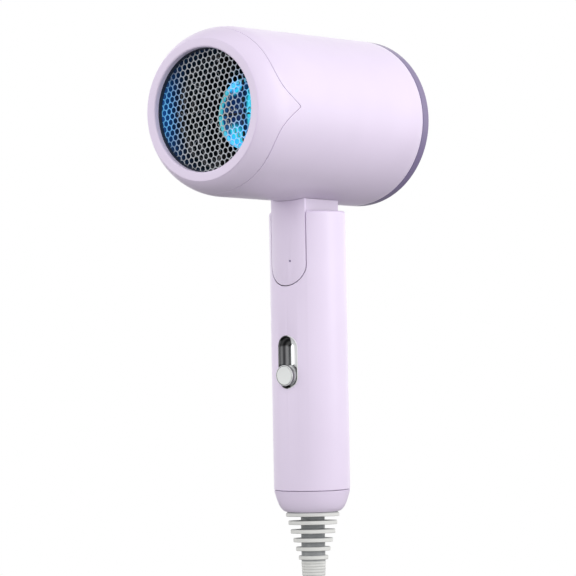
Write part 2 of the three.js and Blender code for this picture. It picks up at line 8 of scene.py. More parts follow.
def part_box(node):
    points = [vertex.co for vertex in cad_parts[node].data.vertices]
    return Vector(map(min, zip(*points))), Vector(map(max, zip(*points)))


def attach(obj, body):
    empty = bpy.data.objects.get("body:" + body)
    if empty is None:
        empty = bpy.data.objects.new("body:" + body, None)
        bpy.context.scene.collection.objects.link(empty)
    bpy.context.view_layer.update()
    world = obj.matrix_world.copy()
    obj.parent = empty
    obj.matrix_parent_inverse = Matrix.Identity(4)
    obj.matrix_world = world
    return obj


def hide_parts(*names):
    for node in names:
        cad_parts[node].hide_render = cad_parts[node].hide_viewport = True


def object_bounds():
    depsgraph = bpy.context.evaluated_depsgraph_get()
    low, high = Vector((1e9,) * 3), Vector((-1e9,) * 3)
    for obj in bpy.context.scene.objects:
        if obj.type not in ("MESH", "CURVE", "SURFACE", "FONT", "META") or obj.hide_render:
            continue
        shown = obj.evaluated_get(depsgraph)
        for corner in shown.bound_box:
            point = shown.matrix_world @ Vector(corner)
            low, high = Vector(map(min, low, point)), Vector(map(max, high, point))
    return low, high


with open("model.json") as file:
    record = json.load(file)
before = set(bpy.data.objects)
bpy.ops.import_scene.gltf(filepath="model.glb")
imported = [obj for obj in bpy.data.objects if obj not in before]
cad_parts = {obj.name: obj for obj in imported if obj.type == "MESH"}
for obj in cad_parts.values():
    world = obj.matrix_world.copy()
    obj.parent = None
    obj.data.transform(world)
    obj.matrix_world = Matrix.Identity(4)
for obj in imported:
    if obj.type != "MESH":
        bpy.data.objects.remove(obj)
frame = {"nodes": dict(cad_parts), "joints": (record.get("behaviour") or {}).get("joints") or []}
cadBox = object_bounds()

mm = 0.001  # the frame is in metres, the sizes below are in millimetres


def corners(node):
    low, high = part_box(node)
    return low / mm, high / mm


outletY = corners("front_cowl")[0].y
coverY = corners("barrel_shell")[1].y + 0.3
rearY = corners("rear_cover")[1].y
barrelZ = (corners("barrel_shell")[0].z + corners("barrel_shell")[1].z) / 2
gripTop = corners("handle_shell")[1].z
gripFoot = corners("handle_shell")[0].z
capFoot = corners("handle_end_cap")[0].z
gripRadius = corners("handle_shell")[1].x
hinge = next(j for j in frame["joints"] if j["name"] == "head_fold")
pivot = Vector(hinge["pos_m"]) / mm
print("frame loaded")

# Camera

view = {"azimuth": 37.0, "elevation": 0.29, "roll": -1.085, "distance": 857, "lens": 118.3, "sensor": 36,
        "near": 0.01, "aim": (-0.22, -15.27, 32.8)}


def linked(name, data):
    item = bpy.data.objects.new(name, data)
    bpy.context.scene.collection.objects.link(item)
    return item


def makeCamera(s):
    turn, rise, roll = (math.radians(s[k]) for k in ("azimuth", "elevation", "roll"))
    back = Vector((math.sin(turn) * math.cos(rise), -math.cos(turn) * math.cos(rise), math.sin(rise)))
    right = Vector((math.cos(turn), math.sin(turn), 0))
    up = back.cross(right)
    sideways = right * math.cos(roll) + up * math.sin(roll)
    upwards = up * math.cos(roll) - right * math.sin(roll)
    data = bpy.data.cameras.new("camera")
    data.lens, data.sensor_width, data.clip_start = s["lens"], s["sensor"], s["near"]
    camera = linked("camera", data)
    place = Matrix.Translation((Vector(s["aim"]) + back * s["distance"]) * mm)
    camera.matrix_world = place @ Matrix((sideways, upwards, back)).transposed().to_4x4()
    bpy.context.scene.camera = camera


makeCamera(view)

# Nodes, for materials and for meshes


def feed(tree, node, values):
    # Each value is a constant or another node's output; its key is the input's label or number.
    for label, value in values.items():
        if isinstance(value, bpy.types.NodeSocket):
            tree.links.new(value, node.inputs[label])
        else:
            node.inputs[label].default_value = value
    return node


def addNode(tree, kind, values=None, **settings):
    node = tree.nodes.new(kind)
    for label, value in settings.items():
        setattr(node, label, value)
    return feed(tree, node, values or {})


def maths(tree, operation, *values):
    return addNode(tree, "ShaderNodeMath", dict(enumerate(values)), operation=operation).outputs[0]


def times(tree, *values):
    product = values[0]
    for value in values[1:]:
        product = maths(tree, "MULTIPLY", product, value)
    return product


def lengthOf(tree, vector):
    return addNode(tree, "ShaderNodeVectorMath", {0: vector}, operation="LENGTH").outputs["Value"]


def splitUp(tree, vector):
    return addNode(tree, "ShaderNodeSeparateXYZ", {0: vector}).outputs


def vectorOf(tree, **parts):
    return addNode(tree, "ShaderNodeCombineXYZ", parts).outputs[0]


def ranged(tree, value, start, end, low, high, **settings):
    values = {"Value": value, "From Min": start, "From Max": end, "To Min": low, "To Max": high}
    return addNode(tree, "ShaderNodeMapRange", values, **settings).outputs["Result"]


def spread(tree, noise, low, high):
    # Noise keeps mostly to 0.3 ... 0.7, so that much of it fills the range.
    return ranged(tree, noise, 0.3, 0.7, low, high)


def eased(tree, value, start, end, low=0.0, high=1.0):
    return ranged(tree, value, start, end, low, high, interpolation_type="SMOOTHSTEP")


def objectPlace(tree):
    return addNode(tree, "ShaderNodeTexCoord").outputs["Object"]


def noiseOf(tree, scale, detail=3):
    values = {"Vector": objectPlace(tree), "Scale": scale, "Detail": detail}
    return addNode(tree, "ShaderNodeTexNoise", values).outputs["Fac"]


def ramped(tree, value, low, high, start=0.0, end=1.0):
    ramp = addNode(tree, "ShaderNodeValToRGB", {"Fac": value})
    stops = ramp.color_ramp.elements
    stops[0].position, stops[1].position = start, end
    stops[0].color, stops[1].color = (*low, 1), (*high, 1)
    return ramp.outputs["Color"]


# Materials


def newMaterial(name):
    material = bpy.data.materials.new(name)
    material.use_nodes = True
    tree = material.node_tree
    return material, tree, tree.nodes["Principled BSDF"]


def grained(tree, shader, scale, strength, depth=0.00003):
    values = {"Height": noiseOf(tree, scale, 2), "Strength": strength, "Distance": depth}
    tree.links.new(addNode(tree, "ShaderNodeBump", values).outputs["Normal"], shader.inputs["Normal"])


plainFinish = {"drift": 0.03, "driftScale": 28, "glossScale": 220, "grainScale": 5200, "grainDepth": 0.00003,
               "metal": 0, "sheen": 0}


def moulded(name, s):
    # Moulded or rubbed surface: a base colour with a slow drift, uneven gloss and a fine grain.
    s = {**plainFinish, **s}
    material, tree, shader = newMaterial(name)
    darker = tuple(c * (1 - s["drift"]) for c in s["color"])
    feed(tree, shader, {
        "Base Color": ramped(tree, noiseOf(tree, s["driftScale"], 2), darker, s["color"], 0.35, 0.65),
        "Roughness": spread(tree, noiseOf(tree, s["glossScale"], 4), *s["rough"]),
        "Metallic": s["metal"], "Sheen Weight": s["sheen"]})
    grained(tree, shader, s["grainScale"], s["grain"], s["grainDepth"])
    return material


def heightOf(tree, z):
    # The distance above or below the barrel's axis.
    return maths(tree, "ABSOLUTE", maths(tree, "SUBTRACT", z, barrelZ * mm))


def glowOf(tree, lamps):
    # One in the middle of each lamp, falling to nothing at its reach, in the plane across the barrel.
    total = 0.0
    for (x, z), (wide, high) in lamps:
        mapping = addNode(tree, "ShaderNodeMapping", {
            "Vector": objectPlace(tree), "Location": (-x / wide, 0, -(barrelZ + z) / high),
            "Scale": (1 / (wide * mm), 0, 1 / (high * mm))})
        spot = eased(tree, lengthOf(tree, mapping.outputs["Vector"]), 0.35, 1, 1, 0)
        total = maths(tree, "MAXIMUM", total, spot)
    return total


def litBy(name, s):
    # Clear or pale plastic with lamps behind it: a dim ground colour and a brighter one at each lamp. The motor's
    # nose, which is no lamp, uses it too, so its glow is painted light.
    material, tree, shader = newMaterial(name)
    cloud = noiseOf(tree, 420, 2)
    level = times(tree, glowOf(tree, s["lamps"]), spread(tree, cloud, 0.75, 1.1))
    feed(tree, shader, {
        "Emission Color": ramped(tree, level, s["dim"], s["bright"], 0.0, 0.8), "Emission Strength": 1,
        "Base Color": (*s["base"], 1), "Roughness": spread(tree, cloud, 0.3, 0.4)})
    return material


def ductWall(name, s):
    # Dark wall of the air duct, washed with blue light close behind the grille.
    material, tree, shader = newMaterial(name)
    _, y, z = splitUp(tree, objectPlace(tree))
    depth = eased(tree, y, s["from"] * mm, s["to"] * mm, 1, 0)
    middle = eased(tree, heightOf(tree, z), 0, s["high"] * mm, 1, s["edge"])
    cloud = spread(tree, noiseOf(tree, 260), 0.7, 1.15)
    level = times(tree, depth, middle, cloud)
    feed(tree, shader, {
        "Emission Color": ramped(tree, level, (0, 0, 0), s["bright"]), "Emission Strength": 1,
        "Base Color": ramped(tree, cloud, (0.008, 0.008, 0.01), (0.014, 0.014, 0.018), 0.7, 1), "Roughness": 0.6})
    return material


def paintedShadeFinish(name, s):
    # A finish painted from pale to dark by the mesh's shade attribute: painted shade on the soft plastic sleeve,
    # painted reflection on chrome.
    material, tree, shader = newMaterial(name)
    paintedDarkness = addNode(tree, "ShaderNodeAttribute", attribute_name="shade").outputs["Fac"]
    level = maths(tree, "ADD", paintedDarkness, spread(tree, noiseOf(tree, s["mottle"]), -s["uneven"], s["uneven"]))
    feed(tree, shader, {"Base Color": ramped(tree, level, s["pale"], s["dark"]),
                        "Roughness": spread(tree, noiseOf(tree, 300), *s["rough"])})
    grained(tree, shader, 4200, s["grain"])
    # Painted reflection: only the dark end is metal, so the pale end stays a plain white.
    if s["metal"]:
        feed(tree, shader, {"Metallic": times(tree, paintedDarkness, s["metal"])})
    return material


def grilleWire(name, s):
    # Pale metal with painted blue light towards its two sides, and glowing spots painted where the lamps in the duct
    # would light it.
    material, tree, shader = newMaterial(name)
    x, _, z = splitUp(tree, objectPlace(tree))
    paintedBlueLight = times(tree, eased(tree, maths(tree, "ABSOLUTE", x), s["from"] * mm, s["to"] * mm),
                 eased(tree, heightOf(tree, z), s["level"] * mm, s["high"] * mm, 1, 0.1))
    light = (0, 0, 0, 1)
    for color, spots in s["glows"]:
        values = {"Factor": 1, "A": light, "B": ramped(tree, glowOf(tree, spots), (0, 0, 0), color)}
        light = addNode(tree, "ShaderNodeMix", values, data_type="RGBA", blend_type="ADD").outputs["Result"]
    feed(tree, shader, {
        "Base Color": ramped(tree, paintedBlueLight, s["plain"], s["paintedBlueLight"]), "Metallic": s["metal"],
        "Roughness": spread(tree, noiseOf(tree, 700), *s["rough"]), "Emission Color": light, "Emission Strength": 1})
    return material


finishes = {
    "lavender": {"color": (0.795, 0.694, 0.872), "rough": (0.3, 0.38), "grain": 0.05},
    # Same plastic as lavender, darker by about a sixth: painted shade for the neck block under the barrel.
    "neck": {"color": (0.67, 0.585, 0.735), "rough": (0.3, 0.38), "grain": 0.05},
    "mauve": {"color": (0.215, 0.17, 0.315), "rough": (0.3, 0.4), "grain": 0.05},
    "heatBlack": {"color": (0.012, 0.012, 0.014), "rough": (0.5, 0.7), "grain": 0.3},
    # Near-black blue: painted shade deep in the outlet's bore.
    "paintedShadeNavy": {"color": (0.018, 0.024, 0.045), "rough": (0.35, 0.5), "grain": 0.2},
    "white": {"color": (0.72, 0.71, 0.69), "rough": (0.42, 0.55), "grain": 0.1},
    "cordGrey": {"color": (0.62, 0.62, 0.6), "rough": (0.5, 0.65), "grain": 0.25, "drift": 0.06},
    "steel": {"color": (0.56, 0.56, 0.57), "rough": (0.25, 0.4), "metal": 1, "grain": 0.08},
    "chrome": {"color": (0.86, 0.87, 0.88), "rough": (0.05, 0.1), "metal": 1, "grain": 0.0},
    "knobFace": {"color": (0.8, 0.82, 0.81), "rough": (0.42, 0.5), "metal": 0.1, "grain": 0.12},
    "mica": {"color": (0.03, 0.027, 0.024), "rough": (0.5, 0.75), "grain": 0.3, "drift": 0.3, "driftScale": 400},
    "wire": {"color": (0.5, 0.5, 0.5), "rough": (0.3, 0.45), "metal": 0.8, "grain": 0.1},
    # Heater wire kept near black: painted shade for the coils deep behind the grille.
    "shadeDarkenedWire": {"color": (0.1, 0.1, 0.105), "rough": (0.5, 0.65), "metal": 0.3, "grain": 0.1},
    "board": {"color": (0.02, 0.12, 0.06), "rough": (0.3, 0.45), "drift": 0.3, "driftScale": 900, "grain": 0.2},
    "sleeve": {"color": (0.03, 0.025, 0.08), "rough": (0.2, 0.3), "grain": 0.05},
    "nickel": {"color": (0.68, 0.67, 0.64), "rough": (0.15, 0.25), "metal": 1, "grain": 0.04},
    "strap": {"color": (0.34, 0.33, 0.32), "rough": (0.85, 0.95), "sheen": 0.4, "grain": 0.9,
              "grainDepth": 0.0002, "grainScale": 2200, "drift": 0.25, "driftScale": 1500},
}
look = {name: moulded(name, s) for name, s in finishes.items()}
# Pale fins with a darker core: the dark end is painted shade, laid on by the sleeve's shade attribute.
look["relief"] = paintedShadeFinish("relief", {
    "pale": (0.67, 0.67, 0.65), "dark": (0.27, 0.28, 0.29), "mottle": 160, "uneven": 0.12, "rough": (0.45, 0.6),
    "grain": 0.15, "metal": 0})
# Chrome with painted reflection: its dark and pale bands come from each piece's shade attribute.
look["reflectionPaintedChrome"] = paintedShadeFinish("reflectionPaintedChrome", {
    "pale": (0.93, 0.94, 0.95), "dark": (0.012, 0.012, 0.014), "mottle": 60, "uneven": 0.02, "rough": (0.06, 0.14),
    "grain": 0.0, "metal": 1})
# Painted light: the blue towards the sides and each glow spot are painted on, not lit by the lamps.
look["mesh"] = grilleWire("mesh", {
    "plain": (0.44, 0.46, 0.49), "paintedBlueLight": (0.12, 0.36, 0.72), "from": 10, "to": 23, "level": 6, "high": 24,
    "rough": (0.35, 0.45), "metal": 0.5,
    "glows": [((0.05, 0.19, 0.3), [((-30, 0), (13, 26))]),
              ((0.02, 0.28, 0.58), [((14.4, 9.5), (5.2, 4.8)), ((15.4, -11.3), (8, 7.5))]),
              ((0.02, 0.4, 0.45), [((23, 1.3), (3.5, 14))]), ((0.01, 0.16, 0.18), [((6.6, -4.5), (2, 8))])]})
look["duct"] = ductWall("duct", {"from": -71, "to": -56, "high": 25, "edge": 0.08, "bright": (0.003, 0.055, 0.23)})
lamps = [((-7.3, 12), (4.8, 4.2)), ((-6.5, -10), (7.5, 7))]
look["lightRing"] = litBy("lightRing", {
    "lamps": lamps, "dim": (0.02, 0.36, 0.42), "bright": (0.03, 0.46, 0.96), "base": (0.3, 0.6, 0.7)})
look["lightBoard"] = litBy("lightBoard", {
    "lamps": lamps, "dim": (0.002, 0.03, 0.12), "bright": (0.03, 0.48, 0.98), "base": (0.05, 0.1, 0.2)})
# The motor's nose is no lamp: its glow round the ring's lamps and its bright upright band are painted light.
look["motorNose"] = litBy("motorNose", {
    "lamps": [*lamps, ((3.2, 2), (2.8, 15))], "dim": (0.001, 0.016, 0.075), "bright": (0.02, 0.6, 0.8),
    "base": (0.01, 0.02, 0.06)})
print("materials made")

# Meshes, with points in millimetres


def addObject(name, points, faces):
    mesh = bpy.data.meshes.new(name)
    mesh.from_pydata([Vector(p) * mm for p in points], [], faces)
    return linked(name, mesh)


def addPiece(name, shape, finish, body, slot, *replaced, sharp=35, place=(0, 0, 0)):
    points, faces = shape
    piece = addObject(name, [Vector(p) + Vector(place) for p in points], faces)
    return finished(piece, finish, body, slot, *replaced, sharp=sharp)


def finished(piece, finish, body, slot, *replaced, sharp=35):
    piece.data.validate()
    piece.data.polygons.foreach_set("use_smooth", [True] * len(piece.data.polygons))
    piece.data.set_sharp_from_angle(angle=math.radians(sharp))
    piece.data.materials.clear()
    piece.data.materials.append(look[finish])
    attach(piece, body)
    if replaced:
        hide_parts(*replaced)
    return piece


def joinRows(rows, closed=True):
    # Faces between rows of points; each row is a closed ring, and the last joins the first if closed.
    count = len(rows[0])
    points = [p for row in rows for p in row]
    faces = []
    for i in range(len(rows) if closed else len(rows) - 1):
        a, b = i * count, ((i + 1) % len(rows)) * count
        faces += [(a + j, a + (j + 1) % count, b + (j + 1) % count, b + j) for j in range(count)]
    if not closed:
        faces += [tuple(reversed(range(count))), tuple(range(len(points) - count, len(points)))]
    return points, faces


def shadeRows(piece, rows):
    # Stores how dark each point is painted, for the finishes with painted shade and painted reflection.
    values = [value for row in rows for value in row]
    piece.data.attributes.new("shade", "FLOAT", "POINT").data.foreach_set("value", values)


def volume(points, faces):
    total = 0
    for face in faces:
        a = Vector(points[face[0]])
        for i in range(1, len(face) - 1):
            total += a.dot(Vector(points[face[i]]).cross(Vector(points[face[i + 1]])))
    return total


def outwards(points, faces):
    return (points, faces) if volume(points, faces) > 0 else (points, [tuple(reversed(f)) for f in faces])


def circle(radius, sides):
    angles = [2 * math.pi * i / sides for i in range(sides)]
    return [(radius * math.cos(a), radius * math.sin(a)) for a in angles]


def turned(profile, axis, sides=128):
    # A body turned about Y or Z from [radius, height] points. It closes on itself, or on the axis.
    closed = not (profile[0][0] == 0 and profile[-1][0] == 0)
    rows = [[(u, height, v) if axis == "y" else (u, v, height) for u, v in circle(radius, sides)]
            for radius, height in profile if radius > 0]
    return outwards(*joinRows(rows, closed))


def arc(centre, radius, start, end, steps=5):
    # Points [radius, height] on a circle, with angles in degrees from the radial direction.
    angles = [math.radians(start + (end - start) * i / steps) for i in range(steps + 1)]
    return [(centre[0] + radius * math.cos(a), centre[1] + radius * math.sin(a)) for a in angles]


def rounded(profile, radius, steps=3):
    # A closed [radius, height] outline with its corners rounded; radius may be one value or one for each.
    result = []
    count = len(profile)
    for i in range(count):
        r = radius[i] if isinstance(radius, (list, tuple)) else radius
        here, before, after = (Vector(profile[k % count]) for k in (i, i - 1, i + 1))
        a, b = (before - here), (after - here)
        r = min(r, a.length * 0.45, b.length * 0.45)
        if r < 0.02:
            result.append(tuple(here))
            continue
        start, end = here + a.normalized() * r, here + b.normalized() * r
        for k in range(steps + 1):
            t = k / steps
            result.append(tuple(start * (1 - t) ** 2 + here * 2 * t * (1 - t) + end * t * t))
    return result


# Mains lead

relief = {"core": 5.45, "fins": [11.2, 10.3, 9.1, 7.95, 6.75], "pitch": 3.96, "thick": 1.8, "first": -75.0,
          "base": 12.25, "lean": 5.6, "bendFrom": -66.0, "bendOver": 5, "backFrom": -96, "backOver": 11,
          "seam": 3.0, "towards": 37.0, "end": -108.3, "grooves": 12}


def smooth(t):
    t = min(max(t, 0), 1)
    return t * t * (3 - 2 * t)


def leanAt(z):
    # The sleeve's lean in radians, and how far its axis has moved aside, at a height.
    s = relief
    step, shift, lean, height = 0.25, 0.0, 0.0, s["bendFrom"]
    while height > z:
        height -= step
        start = smooth((s["bendFrom"] - height) / s["bendOver"])
        lean = math.radians(s["lean"]) * start * (1 - smooth((s["backFrom"] - height) / s["backOver"]))
        shift += step * math.tan(lean)
    return lean, shift


def leaned(point):
    turn = math.radians(relief["towards"])
    side = Vector((math.sin(turn), -math.cos(turn)))
    lean, shift = leanAt(point[2])
    out = point[0] * side.x + point[1] * side.y
    return (point[0] + side.x * shift, point[1] + side.y * shift, point[2] + out * math.sin(lean))


lead = {
    "radius": 3.5, "run": 105, "outer": 28, "bend": 24.5, "middleY": -28, "top": -155.5,
    "start": -107.5, "end": -300, "length": 1650,
    "lanes": [(0, 28), (7.2, 28), (7.2, 21), (0, 21), (-7.2, 21)], "tailX": -7.2,
}


def laneAt(turn, share):
    # Where a turn lies while it climbs back: it changes lane in its own part of the way, the last turn first.
    s = lead["lanes"]
    t = smooth(share * (len(s) - 1) - (len(s) - 2 - turn))
    return [a + (b - a) * t for a, b in zip(s[turn], s[turn + 1])]


def leadPoints():
    s = lead
    foot = s["top"] - s["run"]
    _, lean = leanAt(relief["end"])
    turn = math.radians(relief["towards"])
    start = (math.sin(turn) * lean, -math.cos(turn) * lean)
    easing = ((1, s["start"]), (1, -112), (0.8, -120), (0.3, -132), (0, -145))
    points = [(start[0] * k, start[1] * k, z) for k, z in easing]
    climb = s["run"] + math.pi * s["bend"]
    for turn in range(len(s["lanes"]) - 1):
        x, r = s["lanes"][turn]
        points += [(x, s["middleY"] + r, s["top"] - s["run"] * i / 6) for i in range(6)]
        for i in range(10):
            a = math.pi * i / 9
            points.append((x, s["middleY"] + r * math.cos(a), foot - r * math.sin(a)))
        for i in range(1, 8):
            x, r = laneAt(turn, s["run"] * i / 8 / climb)
            points.append((x, s["middleY"] - r, foot + s["run"] * i / 8))
        for i in range(10):
            a = math.pi * i / 10
            x, r = laneAt(turn, (s["run"] + (climb - s["run"]) * i / 10) / climb)
            points.append((x, s["middleY"] - r * math.cos(a), s["top"] + r * math.sin(a)))
    x, r = s["lanes"][-1]
    for i in range(8):
        t = i / 7
        points.append((x, s["middleY"] + r + smooth(t) * (s["outer"] - r), s["top"] - s["run"] * t))
    points += [(s["tailX"], 0, z) for z in (-272, -286, s["end"])]
    return points


def makeLead():
    data = bpy.data.curves.new("mains_lead", "CURVE")
    data.dimensions, data.bevel_depth, data.bevel_resolution = "3D", lead["radius"] * mm, 5
    data.resolution_u, data.use_fill_caps = 4, True
    points = leadPoints()
    spline = data.splines.new("BEZIER")
    spline.bezier_points.add(len(points) - 1)
    for knot, point in zip(spline.bezier_points, points):
        knot.co = Vector(point) * mm
        knot.handle_left_type = knot.handle_right_type = "AUTO"
    cord = linked("mains_lead", data)
    data.materials.append(look["cordGrey"])
    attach(cord, "handle")
    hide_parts("cord_lead", "cord_hank", "cord_tail")
    return cord


tie = {"halfX": 10.8, "halfY": 31.5, "corner": 3.6, "dip": 0.9}


def bandLoop(grow, steps=6):
    # A rounded rectangle round the hank, pulled in a little between its two bundles.
    halfX, halfY, corner = tie["halfX"], tie["halfY"], tie["corner"]
    loop = []
    for cx, cy, start in ((1, 1, 0), (-1, 1, 90), (-1, -1, 180), (1, -1, 270)):
        for i in range(steps + 1):
            a = math.radians(start + 90 * i / steps)
            loop.append((cx * (halfX - corner) + (corner + grow) * math.cos(a),
                         cy * (halfY - corner) + (corner + grow) * math.sin(a)))
        if start in (90, 270):
            for i in range(1, 8):
                t = i / 8
                dip = tie["dip"] * math.sin(math.pi * t)
                y = (1 - 2 * t) * (halfY - corner) * (1 if start == 90 else -1)
                loop.append((cx * (halfX + grow - dip), y))
    return loop


def middleOf(node):
    return sum(corners(node), Vector()) / 2


def makeTie():
    half = [(0.15, 8.6), (0.25, 8.8), (1.1, 8.8), (1.35, 8.5)]
    section = [*half, (1.35, 0), *((grow, -x) for grow, x in reversed(half))]
    rows = [[(x, y, z) for x, y in bandLoop(grow)] for grow, z in section]
    return addPiece("hank_tie", outwards(*joinRows(rows)), "strap", "handle", "strap_fabric", "cord_tie",
                    place=middleOf("cord_tie"))


def makePlug():
    corner = [(-6, 0), (6, 0), (16.3, -12), (15.3, -29), (-15.3, -29), (-16.3, -12)]
    outline = rounded(corner, [1, 1, 9, 3.5, 3.5, 9], 8)
    half = [(3.2, -8), (1.6, -7.6), (0.6, -6.6), (0, -4.6)]
    section = [*half, (0, 0), *((inset, -x) for inset, x in reversed(half))]
    rows = [[(x, y * (1 - inset / 17), -14.5 + (z + 14.5) * (1 - inset / 15)) for y, z in outline]
            for inset, x in section]
    middle = middleOf("plug_body")
    return addPiece("plug_casing", outwards(*joinRows(rows, closed=False)), "cordGrey", "handle", "grey_rubber",
                    "plug_body", place=(middle.x, middle.y, corners("plug_body")[1].z))


def makePlugRelief():
    low, high = corners("plug_relief")
    profile = [(0, low.z), (6, low.z), (6, low.z + 1.2)]
    for i in range(4):
        z = low.z + 2.2 + 2.7 * i
        r = 5.7 - 0.28 * i
        profile += [(r - 0.8, z - 0.6), (r - 0.8, z + 0.3), (r, z + 0.6), (r - 0.05, z + 1.8)]
    profile += [(4.4, high.z - 0.4), (4.1, high.z), (0, high.z)]
    return addPiece("plug_neck", turned(profile, "z", 48), "cordGrey", "handle", "grey_rubber", "plug_relief",
                    place=((low.x + high.x) / 2, 0, 0))


def makePin(i):
    node = f"plug_pin_{i}"
    (low, high), middle = corners(node), middleOf(node)
    profile = [(0, low.z), (1.2, low.z), (1.9, low.z + 0.5), (2.35, low.z + 1.8), (2.35, high.z), (0, high.z)]
    return addPiece(f"pin_{i}", turned(profile, "z", 32), "nickel", "handle", "nickel", node,
                    place=(middle.x, middle.y, 0))


def declareLead():
    cord, plug = makeLead(), makePlug()
    going = [plug, makePlugRelief(), makeTie(), makePin(1), makePin(2)]
    tuple(c * mm for c in leadPoints()[0])


declareLead()
print("mains lead made")

# Barrel skins

nose = {"mouth": 26.65, "mouthEdge": 0.8, "face": 30.9, "side": 37.0, "depth": 16, "crease": 14, "taper": 0.021,
        "recess": 4.7, "bulge": 1.68, "seam": 8.6, "beak": 12.6, "beakHalf": 6, "beakPower": 1.3, "gap": 0.42,
        "lip": 0.12, "skin": 2.2}


def sideRadius(s):
    # The barrel's radius at a depth s behind the outlet plane.
    crease = math.radians(nose["crease"])
    radial = (nose["side"] - nose["face"]) / (1 - math.sin(crease))
    axial = (nose["depth"] - 0.15) / math.cos(crease)
    if s >= nose["depth"]:
        return nose["side"] + nose["taper"] * (s - nose["depth"])
    power = nose["bulge"]
    return nose["side"] - radial + radial * max(0, 1 - ((nose["depth"] - s) / axial) ** power) ** (1 / power)


def seamDepth(angle):
    height = abs(36.9 * math.sin(angle))
    return nose["seam"] + nose["beak"] * math.exp(-((height / nose["beakHalf"]) ** nose["beakPower"]))


def ringAngles():
    # Angles round the barrel, closer together at the two beaks.
    half = [0.25 * i for i in range(0, 60)] + [15 + 1.5 * i for i in range(0, 101)]
    half += [180 - 0.25 * i for i in range(59, 0, -1)]
    whole = [math.radians(a) for a in half]
    return whole + [a + math.pi for a in whole]


def barrelPoint(s, radius, angle):
    return (radius * math.cos(angle), outletY + s, barrelZ + radius * math.sin(angle))


def gridOf(sections):
    # Rows from one section of (depth, radius) points for each angle round the barrel.
    angles = ringAngles()
    columns = [[barrelPoint(s, r, a) for s, r in sections(a)] for a in angles]
    rows = [[column[i] for column in columns] for i in range(len(columns[0]))]
    return outwards(*joinRows(rows))


def rolled(x, y, reach, degrees):
    # Points on a rounded edge about a centre, with angles from the radial direction.
    return [(x + reach * math.sin(math.radians(a)), y + reach * math.cos(math.radians(a))) for a in degrees]


def cowlSection(angle):
    mouth, face, edge, lip, end = nose["mouth"], nose["face"], nose["mouthEdge"], nose["lip"], seamDepth(angle)
    last, surface = end - lip, sideRadius(end)
    section = [(nose["recess"], mouth), (2, mouth), *rolled(edge, mouth + edge, -edge, range(0, 91, 15))]
    section += [(0, mouth + 1.6), (0, face - 1), (0, face - 0.5), (0.05, face - 0.25)]
    section += [(d, sideRadius(d)) for d in (0.15 + (last - 0.15) * (i / 34) ** 1.7 for i in range(1, 35))]
    section += rolled(last, surface - lip, lip, (30, 60, 90))
    section += [(end, surface - 1.5), (end - 1, surface - 1.7), (6.5, 33.6), (3.8, 31.4), (3.2, 29.9), (9, 29.9)]
    return section + [(9, 28.1), (nose["recess"], 28.1)]


def shellSection(angle):
    lip, start, end = nose["lip"], seamDepth(angle) + nose["gap"], coverY - nose["gap"] - outletY
    inside = sideRadius(end) - nose["skin"]
    surface, length = sideRadius(start), end - start - 2 * lip
    section = [(start, surface - 1.4), *rolled(start + lip, surface - lip, lip, (-90, -60, -30, 0))]
    section += [(d, sideRadius(d)) for d in (start + lip + length * (i / 30) ** 1.4 for i in range(1, 31))]
    section += rolled(end - lip, sideRadius(end) - lip, lip, (30, 60, 90))
    return section + [(end, inside), (end - 40, inside - 0.8), (23, 34.9), (start + 0.2, 34.6)]


def makeSkins():
    axis, inner, outer = (0, 0, barrelZ), nose["mouth"] - 0.2, nose["mouth"] + 0.02
    front, back = outletY + 7.5, outletY + 24
    spigot = turned([(33, front), (34.2, front), (34.2, back), (33, back)], "y")
    addPiece("cowl_spigot", spigot, "heatBlack", "head", "dark_plastic", place=axis)
    addPiece("nose_cowl", gridOf(cowlSection), "lavender", "head", "lavender_plastic", "front_cowl", sharp=32)
    addPiece("barrel_casing", gridOf(shellSection), "lavender", "head", "lavender_plastic", "barrel_shell", sharp=32)
    # A dark ring deep in the mouth: painted shade on the bore wall in front of the grille.
    front, back = outletY + 2.8, outletY + 4.95
    sleeve = turned([(outer, front), (inner + 0.1, front), (inner, front + 0.15), (inner, back), (outer, back)], "y")
    addPiece("mouth_sleeve", sleeve, "paintedShadeNavy", "head", "dark_plastic", place=axis)


makeSkins()
print("barrel skins made")

# Honeycomb plates, by Geometry Nodes


def nodeTree(name, **inputs):
    tree = bpy.data.node_groups.new(name, "GeometryNodeTree")
    tree.interface.new_socket("Geometry", in_out="OUTPUT", socket_type="NodeSocketGeometry")
    for label, kind in inputs.items():
        tree.interface.new_socket(label, in_out="INPUT", socket_type="NodeSocket" + kind)
    return tree, addNode(tree, "NodeGroupInput").outputs


def onward(tree, kind, geometry, **values):
    # A node whose first input and output are the geometry that is worked on.
    return addNode(tree, kind, {0: geometry, **values}).outputs[0]


def painted(tree, geometry, material):
    addNode(tree, "NodeGroupOutput", {0: onward(tree, "GeometryNodeSetMaterial", geometry, Material=material)})
    return tree


def positionOf(tree):
    return addNode(tree, "GeometryNodeInputPosition").outputs[0]


def runTree(name, tree, values, finish, body, slot, *replaced, sharp=35, place):
    # Runs a tree on an empty mesh, and keeps the result as a plain mesh.
    carrier = linked(name + "_carrier", bpy.data.meshes.new(name + "_carrier"))
    modifier = carrier.modifiers.new("nodes", "NODES")
    modifier.node_group = tree
    for item in tree.interface.items_tree:
        if item.in_out == "INPUT":
            modifier[item.identifier] = look[finish] if item.name == "Material" else values[item.name]
    evaluated = carrier.evaluated_get(bpy.context.evaluated_depsgraph_get())
    mesh = bpy.data.meshes.new_from_object(evaluated)
    bpy.data.objects.remove(carrier)
    mesh.transform(place)
    return finished(linked(name, mesh), finish, body, slot, *replaced, sharp=sharp)


